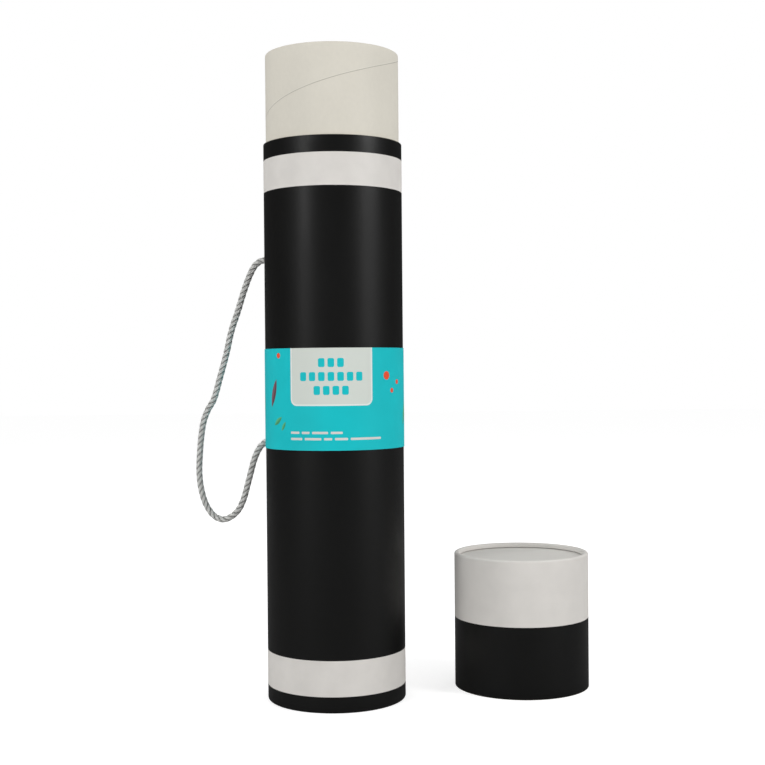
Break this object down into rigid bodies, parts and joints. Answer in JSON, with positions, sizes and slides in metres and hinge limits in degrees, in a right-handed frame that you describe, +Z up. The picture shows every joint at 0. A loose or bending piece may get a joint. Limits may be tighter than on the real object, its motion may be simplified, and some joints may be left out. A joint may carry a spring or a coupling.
{
  "type": "art storage tube",
  "caption": "Round board tube with a white neck, black side with white bands, teal paper sleeve and rope loop, its cap off and standing beside it, for storing and carrying rolled sheets.",
  "frame": {"origin": "on the floor, in the middle of the box that holds the tube and the cap without the rope handle", "axes": "+Z up along the tube, -Y towards the front of the sleeve, +X from the tube towards the cap"},
  "size_m": [0.2927, 0.1274, 0.464],
  "materials": {
    "black_wrap": "satin black paper wrap with white bands",
    "ivory_board": "smooth ivory board, spirally wound",
    "grey_board": "plain grey board",
    "white_wrap": "satin white paper wrap, black below",
    "teal_paper": "printed paper, soft sheen",
    "grey_rope": "twisted silky cord of three strands"
  },
  "bodies": {
    "tube": {"outer_tube": "black_wrap", "inner_liner": "ivory_board", "base_disc": "grey_board", "label_sleeve": "teal_paper", "rope_handle": "grey_rope", "rope_knot_upper": "grey_rope", "rope_knot_lower": "grey_rope"},
    "cap": {"cap_shell": "white_wrap", "cap_disc": "white_wrap"}
  },
  "joints": [
    {"name": "cap_lift", "type": "slide", "parent": "tube", "child": "cap", "axis": [0, 0, 1], "range_m": [0, 0.47]}
  ]
}
